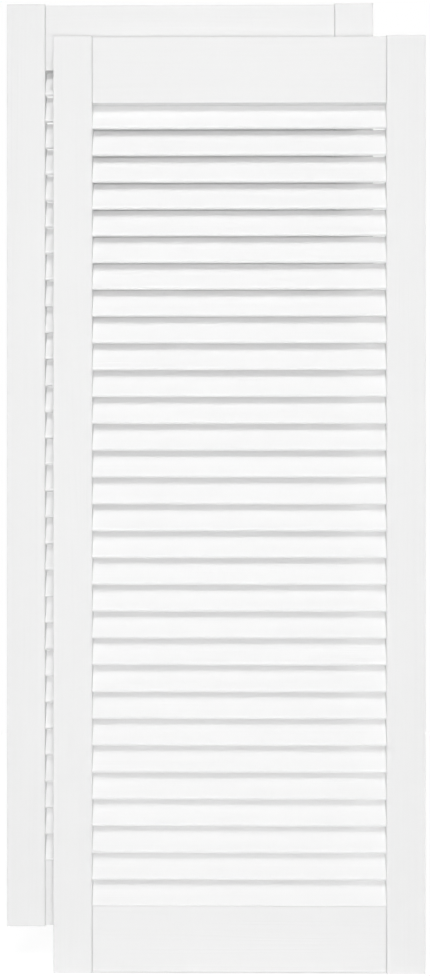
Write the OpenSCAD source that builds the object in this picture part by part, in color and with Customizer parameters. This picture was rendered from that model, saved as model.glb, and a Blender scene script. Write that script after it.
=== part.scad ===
// Pair of louvred cabinet doors in painted softwood.
// Each door is a dowelled frame of two stiles and two rails that holds a row of fixed slanted slats.
// The front of each door faces -Y, and the pair is centred on the origin with its lowest edge at Z = 0.

/* [Door] */
// Width of a door
door_w = 394; // [240:1:760]
// Height of a door
door_h = 993; // [600:1:1300]
// Thickness of the stiles and rails
door_t = 21; // [17:0.5:30]

/* [Frame] */
// Width of a stile, seen from the front
stile_w = 41.5; // [32:0.5:80]
// Height of a rail, seen from the front
rail_h = 70; // [52:0.5:140]
// Length of stile that stands past the rails at the top and the bottom
stile_horn = 1.5; // [0:0.1:6]
// Radius of the rounded inner edges of the stiles
stile_round = 2; // [0.5:0.1:3]
// Radius of the other arrises, which are only eased
arris_r = 0.6; // [0.2:0.1:1.2]

/* [Louvre] */
// Number of slats in a door
slat_n = 30; // [16:1:30]
// Thickness of a slat
slat_t = 5; // [3.5:0.1:7]
// Depth of the slats' edges behind the faces of the frame
slat_inset = 1.5; // [1.5:0.1:4]
// Height by which a slat's top edge stands above the nose of the next slat up
slat_lap = 1.2; // [0:0.1:6]
// Depth of the first slat's top edge in the top rail
head_let = 2.8; // [1:0.1:5]
// Depth of the last slat's nose in the bottom rail
foot_let = 1.6; // [0.5:0.1:5]
// Depth of the slots in the stiles
slot_depth = 7.5; // [4:0.5:12]

/* [Corner joints] */
// Width of the fine open line along a rail's shoulders
joint_line = 0.35; // [0.1:0.05:1]
// Depth of that line, from the front and from the back
joint_depth = 3; // [2:0.1:4]
// Diameter of a dowel
dowel_d = 8; // [5:0.5:10]
// Length of a dowel
dowel_l = 40; // [24:1:50]
// Distance between the two dowels of a joint
dowel_pitch = 36; // [16:1:40]
// Chamfer at the ends of a dowel
dowel_bevel = 1; // [0.5:0.1:2]

/* [Clearances] */
// Room round a slat in its slots and grooves
slot_fit = 0.1; // [0.05:0.05:0.3]
// Room past the end of a slat in its slot
slot_end = 0.5; // [0.2:0.1:2]
// Room round a dowel in its bore
dowel_fit = 0.05; // [0.02:0.01:0.2]
// Room past the end of a dowel in its bore
dowel_end = 1; // [0.5:0.1:3]

/* [Pair] */
// Clear gap between the back of the front door and the face of the rear door
pair_gap = 8; // [2:0.5:60]
// Distance of the rear door to the left of the front door
pair_shift = 53; // [0:1:200]
// Height of the rear door above the front door
pair_rise = 42; // [0:1:200]

/* [Hidden] */
$fn = 48;

paint = [0.95, 0.95, 0.94];
beech = [0.80, 0.64, 0.45];

// Opening between the rails and the stiles
rail_l = door_w - 2 * stile_w;
foot_z = stile_horn + rail_h;
head_z = door_h - stile_horn - rail_h;

// Slats share out the opening and the two grooves, and lean to fill the thickness of the frame
slat_pitch = (head_z - foot_z + head_let + foot_let - slat_lap) / slat_n;
slat_rise = slat_pitch + slat_lap - slat_t;
slat_run = door_t - 2 * slat_inset - slat_t;
slat_lean = atan2(slat_run, slat_rise);
slat_w = slat_t + norm([slat_run, slat_rise]);
slat_l = rail_l + 2 * (slot_depth - slot_end);

// Height of the middle of a slat, counted from the top of the door
function slat_z(i) = head_z + head_let - (slat_t + slat_rise) / 2 - (i - 1) * slat_pitch;

// Names of the slats and of the rear door's sets of two slats
slats_per_set = 2;
function two_digits(i) = str(i < 10 ? "0" : "", i);
function slat_name(i) = str("front_slat_", two_digits(i));
function set_last(i) = min(i + slats_per_set - 1, slat_n);
function slats_name(i) = str("rear_slats_", two_digits(i), "_", two_digits(set_last(i)));

// What a corner with this radius takes away at the origin
module corner_waste(corner_r) {
    difference() {
        translate([-corner_r, -corner_r])
            square(2 * corner_r);
        translate([corner_r, corner_r])
            circle(corner_r);
    }
}

// Rectangle from the origin, with one radius for its two corners at X = 0 and one for the other two
module eased_rect(a, b, near_r = arris_r, far_r = arris_r) {
    difference() {
        square([a, b]);
        for (v = [0, 1])
            translate([0, v * b])
                mirror([0, v]) {
                    corner_waste(near_r);
                    translate([a, 0])
                        mirror([1, 0])
                            corner_waste(far_r);
                }
    }
}

// Upright bar with every arris rounded, from the origin
module eased_post(width_x, depth_y, height_z, near_r, far_r) {
    intersection() {
        linear_extrude(height_z)
            eased_rect(width_x, depth_y, near_r, far_r);
        rotate([90, 0, 90])
            linear_extrude(width_x)
                eased_rect(depth_y, height_z);
        translate([0, depth_y, 0])
            rotate([90, 0, 0])
                linear_extrude(depth_y)
                    eased_rect(width_x, height_z);
    }
}

// Section of a slat, with both long edges fully rounded
module slat_section(room) {
    square([slat_w - slat_t, slat_t + 2 * room], center = true);
    for (side = [-1, 1])
        translate([side * (slat_w - slat_t) / 2, 0])
            circle(d = slat_t + 2 * room);
}

// Bar of the slat's section in its place, centred between the stiles
module slat_bar(i, bar_l, room = 0) {
    translate([-bar_l / 2, door_t / 2, slat_z(i)])
        rotate([90, 0, 90])
            linear_extrude(bar_l)
                rotate(90 - slat_lean)
                    slat_section(room);
}

// Room that a slat takes up in the frame
module slat_housing(i) {
    slat_bar(i, rail_l + 2 * slot_depth, slot_fit);
}

// Puts its children at each dowel of the joint between one stile and one rail
module at_dowels(side, rail_z) {
    for (step = [-1, 1])
        translate([side * rail_l / 2, door_t / 2, rail_z + (rail_h + step * dowel_pitch) / 2])
            rotate([0, 90, 0])
                children();
}

// Bores for the dowels of one joint, into the stile and the rail
module dowel_bores(side, rail_z) {
    at_dowels(side, rail_z)
        cylinder(h = dowel_l + 2 * dowel_end, d = dowel_d + 2 * dowel_fit, center = true);
}

// Dowel with chamfered ends, centred on the joint
module dowel() {
    rotate_extrude()
        polygon([
            [0, -dowel_l / 2],
            [dowel_d / 2 - dowel_bevel, -dowel_l / 2],
            [dowel_d / 2, -dowel_l / 2 + dowel_bevel],
            [dowel_d / 2, dowel_l / 2 - dowel_bevel],
            [dowel_d / 2 - dowel_bevel, dowel_l / 2],
            [0, dowel_l / 2]
        ]);
}

// Radius of a stile's edges on its left (-1) or its right (1): the inner ones are rounder
function edge_r(side, facing) = side == facing ? arris_r : stile_round;

// Stile on the left (-1) or the right (1), with a slanted slot for each slat
module stile(side) {
    color(paint)
        difference() {
            translate([side * (rail_l + stile_w) / 2 - stile_w / 2, 0, 0])
                eased_post(stile_w, door_t, door_h, edge_r(side, -1), edge_r(side, 1));
            for (i = [1 : slat_n])
                slat_housing(i);
            dowel_bores(side, stile_horn);
            dowel_bores(side, head_z);
        }
}

// Waste of the fine open lines where a rail's shoulders meet the stiles
module shoulder_lines(rail_z) {
    for (side = [-1, 1], face = [0, 1])
        translate([side * rail_l / 2, face * door_t, rail_z + rail_h / 2])
            cube([2 * joint_line, 2 * joint_depth, rail_h + 2], center = true);
}

// Rail from its lower edge up, square at its ends, with a groove for the slat that it holds
module rail(rail_z, held_slat) {
    color(paint)
        difference() {
            translate([-rail_l / 2, 0, rail_z])
                rotate([90, 0, 90])
                    linear_extrude(rail_l)
                        eased_rect(door_t, rail_h);
            slat_housing(held_slat);
            shoulder_lines(rail_z);
            dowel_bores(-1, rail_z);
            dowel_bores(1, rail_z);
        }
}

module top_rail() {
    rail(head_z, 1);
}

module bottom_rail() {
    rail(stile_horn, slat_n);
}

module slat(i) {
    color(paint)
        slat_bar(i, slat_l);
}

module dowels() {
    color(beech)
        for (side = [-1, 1], rail_z = [stile_horn, head_z])
            at_dowels(side, rail_z)
                dowel();
}

// Places of the two doors
module front_door() {
    translate([pair_shift / 2, -pair_gap / 2 - door_t, 0])
        children();
}

module rear_door() {
    translate([-pair_shift / 2, pair_gap / 2, pair_rise])
        children();
}

front_door() stile(-1);  // front_left_stile
front_door() stile(1);  // front_right_stile
front_door() top_rail();  // front_top_rail
front_door() bottom_rail();  // front_bottom_rail
front_door() dowels();  // front_dowels
for (i = [1 : slat_n])
    front_door() slat(i);

rear_door() stile(-1);  // rear_left_stile
rear_door() stile(1);  // rear_right_stile
rear_door() top_rail();  // rear_top_rail
rear_door() bottom_rail();  // rear_bottom_rail
rear_door() dowels();  // rear_dowels
for (i = [1 : slats_per_set : slat_n])
    rear_door() for (k = [i : set_last(i)]) slat(k);
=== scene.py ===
import math

import bpy
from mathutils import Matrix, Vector

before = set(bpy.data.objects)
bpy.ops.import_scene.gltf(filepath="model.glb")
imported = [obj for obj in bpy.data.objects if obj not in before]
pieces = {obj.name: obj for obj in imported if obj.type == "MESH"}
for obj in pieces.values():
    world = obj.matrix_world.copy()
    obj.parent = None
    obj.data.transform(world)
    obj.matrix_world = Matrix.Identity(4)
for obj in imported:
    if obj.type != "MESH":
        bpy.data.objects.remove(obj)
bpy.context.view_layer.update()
scene = bpy.context.scene
scene.view_settings.view_transform = "Standard"
print("loaded", len(pieces), "pieces of the two doors")


# one output of a shader tree: sums and products of wires add their own Math nodes
class Wire:
    def __init__(self, shader, node, output):
        self.shader = shader
        self.node = node
        self.socket = node.outputs[output]

    # another output of the same node
    def also(self, output):
        return Wire(self.shader, self.node, output)

    def calc(self, operation, *values):
        return self.shader.add("ShaderNodeMath", {"operation": operation}, dict(enumerate(values)))

    def __add__(self, other):
        return self.calc("ADD", self, other)

    def __radd__(self, other):
        return self.calc("ADD", other, self)

    def __sub__(self, other):
        return self.calc("SUBTRACT", self, other)

    def __rsub__(self, other):
        return self.calc("SUBTRACT", other, self)

    def __mul__(self, other):
        return self.calc("MULTIPLY", self, other)

    def __rmul__(self, other):
        return self.calc("MULTIPLY", other, self)

    def __pow__(self, other):
        return self.calc("POWER", self, other)

    def __rpow__(self, other):
        return self.calc("POWER", other, self)

    def sine(self):
        return self.calc("SINE", self)

    def orElse(self, other):
        return self.calc("MAXIMUM", self, other)


class Shader:
    def __init__(self, nodeTree):
        self.nodeTree = nodeTree
        nodeTree.nodes.clear()

    # any node: its type, its settings first, then the values or wires of its sockets
    def add(self, kind, settings=None, sockets=None, output=0):
        node = self.nodeTree.nodes.new(kind)
        for name, value in (settings or {}).items():
            setattr(node, name, value)
        for key, value in (sockets or {}).items():
            if isinstance(value, Wire):
                self.nodeTree.links.new(value.socket, node.inputs[key])
            else:
                node.inputs[key].default_value = value
        if node.outputs:
            return Wire(self, node, output)

    # noise with this many waves in a metre along each axis; detail breaks them up
    def noise(self, place, waves, detail):
        packed = self.add("ShaderNodeVectorMath", {"operation": "MULTIPLY"}, {0: place, 1: waves})
        return self.add("ShaderNodeTexNoise", {}, {"Vector": packed, "Scale": 1.0, "Detail": detail})

    def mixColour(self, mask, first, second):
        return self.add("ShaderNodeMix", {"data_type": "RGBA"}, {0: mask, 6: first, 7: second}, output=2)

    # ends a material in a wood surface with its relief
    def wood(self, colour, roughness, height, look):
        bump = self.add("ShaderNodeBump", {}, {
            "Strength": look["reliefStrength"], "Distance": look["relief"], "Height": height})
        surface = self.add("ShaderNodeBsdfPrincipled", {}, {
            "Base Color": colour, "Roughness": roughness, "Normal": bump})
        self.add("ShaderNodeOutputMaterial", {}, {"Surface": surface})


def newMaterial(name):
    material = bpy.data.materials.new(name)
    material.use_nodes = True
    return material, Shader(material.node_tree)


def grey(level):
    return (level, level, level, 1.0)


# white paint on planed softwood; lengths in metres
paintLook = {
    "ringGap": 0.0021,       # from one growth ring to the next, through the board
    "ringTilt": 0.36,        # slope of the rings over the width of the board
    "ringStray": 0.007,      # how far the rings wander off their planes
    "ringCrowd": 0.009,      # how far good and bad years draw them apart or together
    "ringEdge": 3.0,         # the higher, the narrower the hard wood of a ring
    "ringFade": 2.0,         # the higher, the fewer the places where the rings show
    "ringShow": 3.0,         # strength of the rings in those places
    "boardStep": 6.0,        # spreads the boards over the log, so that no two match
    "thinShare": 0.5,        # how much of the thin coat shows over the hardest rings
    "ringInCoat": 0.6,       # part of the rings in the thin coat; the rest is fibre
    "cloudInGloss": 0.6,     # part of the clouds in the roughness; the rest is fibre
    "relief": 0.00016,       # height of the grain that shows through the coat
    "reliefStrength": 0.7,
    "ringRelief": 0.45,      # parts of the rings, the fibre and the stipple in the relief
    "fibreRelief": 0.3,
    "stippleRelief": 0.25,
    # patterns: waves in a metre along the grain and over it, then their detail
    "wander": (1.8, 24.0, 2.0),
    "crowd": (1.2, 75.0, 1.0),
    "faint": (5.0, 130.0, 2.0),
    "fibre": (26.0, 900.0, 3.0),
    "cloud": (8.0, 16.0, 2.0),
    "stipple": (640.0, 640.0, 1.0),
}
# grey of the full coat and of the thin one, roughness and how far it varies; the slats carry the frames'
# white paint, but their greys are set lighter as painted light for the extra light that the upturned
# slats catch
frameCoat = {"white": 0.833, "thin": 0.795, "roughness": 0.64, "roughSpread": 0.10}
# same paint as the frames; the lighter greys here are painted light, not a whiter paint
slatCoatPaintedLighter = {"white": 0.91, "thin": 0.875, "roughness": 0.60, "roughSpread": 0.10}


# grain is the axis that the boards run along
def whitePaint(name, grain, coat):
    look = paintLook
    material, shader = newMaterial(name)
    place = shader.add("ShaderNodeTexCoord", output="Object")
    pick = shader.add("ShaderNodeObjectInfo", output="Random")
    step = shader.add("ShaderNodeCombineXYZ", {}, {grain: pick * look["boardStep"]})
    board = shader.add("ShaderNodeVectorMath", {"operation": "ADD"}, {0: place, 1: step})
    axes = shader.add("ShaderNodeSeparateXYZ", {}, {0: board})
    width = axes.also("X" if grain == "Z" else "Z")

    # one of the look's patterns, laid along the grain
    def laid(where, pattern):
        along, over, detail = look[pattern]
        waves = (over, over, along) if grain == "Z" else (along, over, over)
        return shader.noise(where, waves, detail)

    wander = laid(board, "wander")
    crowd = laid(board, "crowd")
    faint = laid(board, "faint")
    fibre = laid(board, "fibre")
    cloud = laid(board, "cloud")
    stipple = laid(place, "stipple")

    stray = (wander - 0.5) * look["ringStray"] + (crowd - 0.5) * look["ringCrowd"]
    depth = axes.also("Y") + width * look["ringTilt"] + stray
    ring = (depth * (2 * math.pi / look["ringGap"])).sine() * 0.5 + 0.5
    late = ring ** look["ringEdge"] * faint ** look["ringFade"] * look["ringShow"]  # the rings' hard wood
    coated = late * look["ringInCoat"] + fibre * (1 - look["ringInCoat"])
    colour = shader.mixColour(coated * cloud * look["thinShare"], grey(coat["white"]), grey(coat["thin"]))
    patchy = cloud * look["cloudInGloss"] + fibre * (1 - look["cloudInGloss"]) - 0.5
    rough = coat["roughness"] + patchy * coat["roughSpread"]
    height = (late * look["ringRelief"] + fibre * look["fibreRelief"]
              + stipple * look["stippleRelief"])
    shader.wood(colour, rough, height, look)
    return material


# bare beech, for the dowels inside the corner joints, which lie along X
beechLook = {
    "pale": (0.58, 0.40, 0.24, 1.0),
    "dark": (0.40, 0.25, 0.13, 1.0),
    "roughness": 0.62,
    "roughSpread": 0.1,
    "relief": 0.0001,
    "reliefStrength": 0.4,
    "figureShare": 0.6,      # part of the figure in the colour; flecks come on top
    "fleckEdge": 4.0,        # the higher, the fewer and sharper the flecks
    # patterns: waves in a metre along X, Y and Z
    "figure": (18.0, 160.0, 160.0),
    "figureDetail": 3.0,
    "fleck": (220.0, 1500.0, 1500.0),
    "fleckDetail": 1.0,
}


def bareBeech(name):
    look = beechLook
    material, shader = newMaterial(name)
    place = shader.add("ShaderNodeTexCoord", output="Object")
    figure = shader.noise(place, look["figure"], look["figureDetail"])
    fleck = shader.noise(place, look["fleck"], look["fleckDetail"]) ** look["fleckEdge"]
    colour = shader.mixColour(figure * look["figureShare"] + fleck, look["pale"], look["dark"])
    shader.wood(colour, look["roughness"] + figure * look["roughSpread"], figure - fleck, look)
    return material


finishes = {
    "stile": whitePaint("stilePaint", "Z", frameCoat),
    "rail": whitePaint("railPaint", "X", frameCoat),
    "slat": whitePaint("slatPaintWithPaintedLight", "X", slatCoatPaintedLighter),
    "dowel": bareBeech("dowelBeech"),
}
for name, piece in pieces.items():
    for word, finish in finishes.items():
        if word in name:
            piece.data.materials[0] = finish
print("painted", len(pieces), "pieces")


# where the photograph was taken from: level, a little right of the pair's middle and turned back to it
cameraPlace = {
    "location": (0.0199, -1.825, 0.5135),
    "turn": 0.605,           # degrees to the left of straight on
    "lens": 62.68,
    "sensor": 36.0,          # along the tall side of the picture
}


def placeCamera():
    camera = bpy.data.objects.new("camera", bpy.data.cameras.new("camera"))
    camera.data.lens = cameraPlace["lens"]
    camera.data.sensor_width = cameraPlace["sensor"]
    camera.location = cameraPlace["location"]
    camera.rotation_euler = (math.radians(90), 0, math.radians(cameraPlace["turn"]))
    scene.collection.objects.link(camera)
    scene.camera = camera


placeCamera()
print("camera placed")


studio = {
    "worldLight": 0.255,
    "floorSide": 30.0,
    "floorWhite": 0.85,        # as light meets it
    "floorSeen": 0.60,         # share of its lit colour in what is seen of it, so that a shadow stays
    "floorGlow": 0.68,
    "floorFade": (0.6, 1.8),   # distances between which the floor that is seen turns all white
    # soft boxes: where each stands, what it faces, its width and height, beam in degrees and watts
    "lamps": {
        "frontBox": ((0.02, -2.8, 0.115), (0.0, 0.0, 0.43), (0.9, 0.38), 180, 32.8),
        "footBox": ((0.02, -2.8, 0.115), (0.0, 0.0, 0.0), (0.9, 0.38), 60, 1.32),
        "keyBox": ((0.0, -2.25, 2.25), (0.0, 0.0, 0.80), (1.2, 1.0), 70, 4.4),
        "topBox": ((0.0, -0.95, 1.85), (0.0, 0.0, 0.75), (0.9, 0.5), 180, 1.1),
        "backBoxLeft": ((-1.9, 1.7, 0.30), (0.0, 0.0, 0.50), (1.0, 1.0), 180, 30.0),
        "backBoxRight": ((1.9, 1.7, 0.30), (0.0, 0.0, 0.50), (1.0, 1.0), 180, 30.0),
    },
}


# 1 for the rays that show the white backdrop, 0 for those that carry light
def seenRay(shader):
    path = shader.add("ShaderNodeLightPath", output="Is Camera Ray")
    return path.orElse(path.also("Is Glossy Ray")).orElse(path.also("Is Transmission Ray"))


def whiteWorld():
    world = bpy.data.worlds.new("studio")
    world.use_nodes = True
    scene.world = world
    shader = Shader(world.node_tree)
    light = shader.add("ShaderNodeBackground", {}, {
        "Color": grey(1.0), "Strength": studio["worldLight"]})
    white = shader.add("ShaderNodeBackground", {}, {"Color": grey(1.0), "Strength": 1.0})
    either = shader.add("ShaderNodeMixShader", {}, {0: seenRay(shader), 1: light, 2: white})
    shader.add("ShaderNodeOutputWorld", {}, {"Surface": either})


def whiteFloor():
    half = studio["floorSide"] / 2
    mesh = bpy.data.meshes.new("floor")
    corners = [(-half, -half, 0), (half, -half, 0), (half, half, 0), (-half, half, 0)]
    mesh.from_pydata(corners, [], [(0, 1, 2, 3)])
    floor = bpy.data.objects.new("floor", mesh)
    scene.collection.objects.link(floor)
    material, shader = newMaterial("floorWhite")
    matt = shader.add("ShaderNodeBsdfDiffuse", {}, {"Color": grey(studio["floorWhite"])})
    faint = shader.add("ShaderNodeBsdfDiffuse", {}, {"Color": grey(studio["floorSeen"])})
    glow = shader.add("ShaderNodeEmission", {}, {"Color": grey(1.0), "Strength": studio["floorGlow"]})
    near = shader.add("ShaderNodeAddShader", {}, {0: faint, 1: glow})
    far = shader.add("ShaderNodeEmission", {}, {"Color": grey(1.0), "Strength": 1.0})
    place = shader.add("ShaderNodeTexCoord", output="Object")
    away = shader.add("ShaderNodeVectorMath", {"operation": "LENGTH"}, {0: place}, output="Value")
    fadeStart, fadeEnd = studio["floorFade"]
    fade = shader.add("ShaderNodeMapRange", {"interpolation_type": "SMOOTHSTEP"}, {
        "Value": away, "From Min": fadeStart, "From Max": fadeEnd})
    seen = shader.add("ShaderNodeMixShader", {}, {0: fade, 1: near, 2: far})
    either = shader.add("ShaderNodeMixShader", {}, {0: seenRay(shader), 1: matt, 2: seen})
    shader.add("ShaderNodeOutputMaterial", {}, {"Surface": either})
    mesh.materials.append(material)


def softBox(name, place, target, size, beam, watts):
    lamp = bpy.data.objects.new(name, bpy.data.lights.new(name, "AREA"))
    lamp.data.shape = "RECTANGLE"
    lamp.data.size, lamp.data.size_y = size
    lamp.data.spread = math.radians(beam)
    lamp.data.energy = watts
    lamp.location = place
    lamp.rotation_euler = (Vector(target) - Vector(place)).to_track_quat("-Z", "Y").to_euler()
    scene.collection.objects.link(lamp)


whiteWorld()
whiteFloor()
for name, lamp in studio["lamps"].items():
    softBox(name, *lamp)
print("studio lit by", len(studio["lamps"]), "soft boxes")
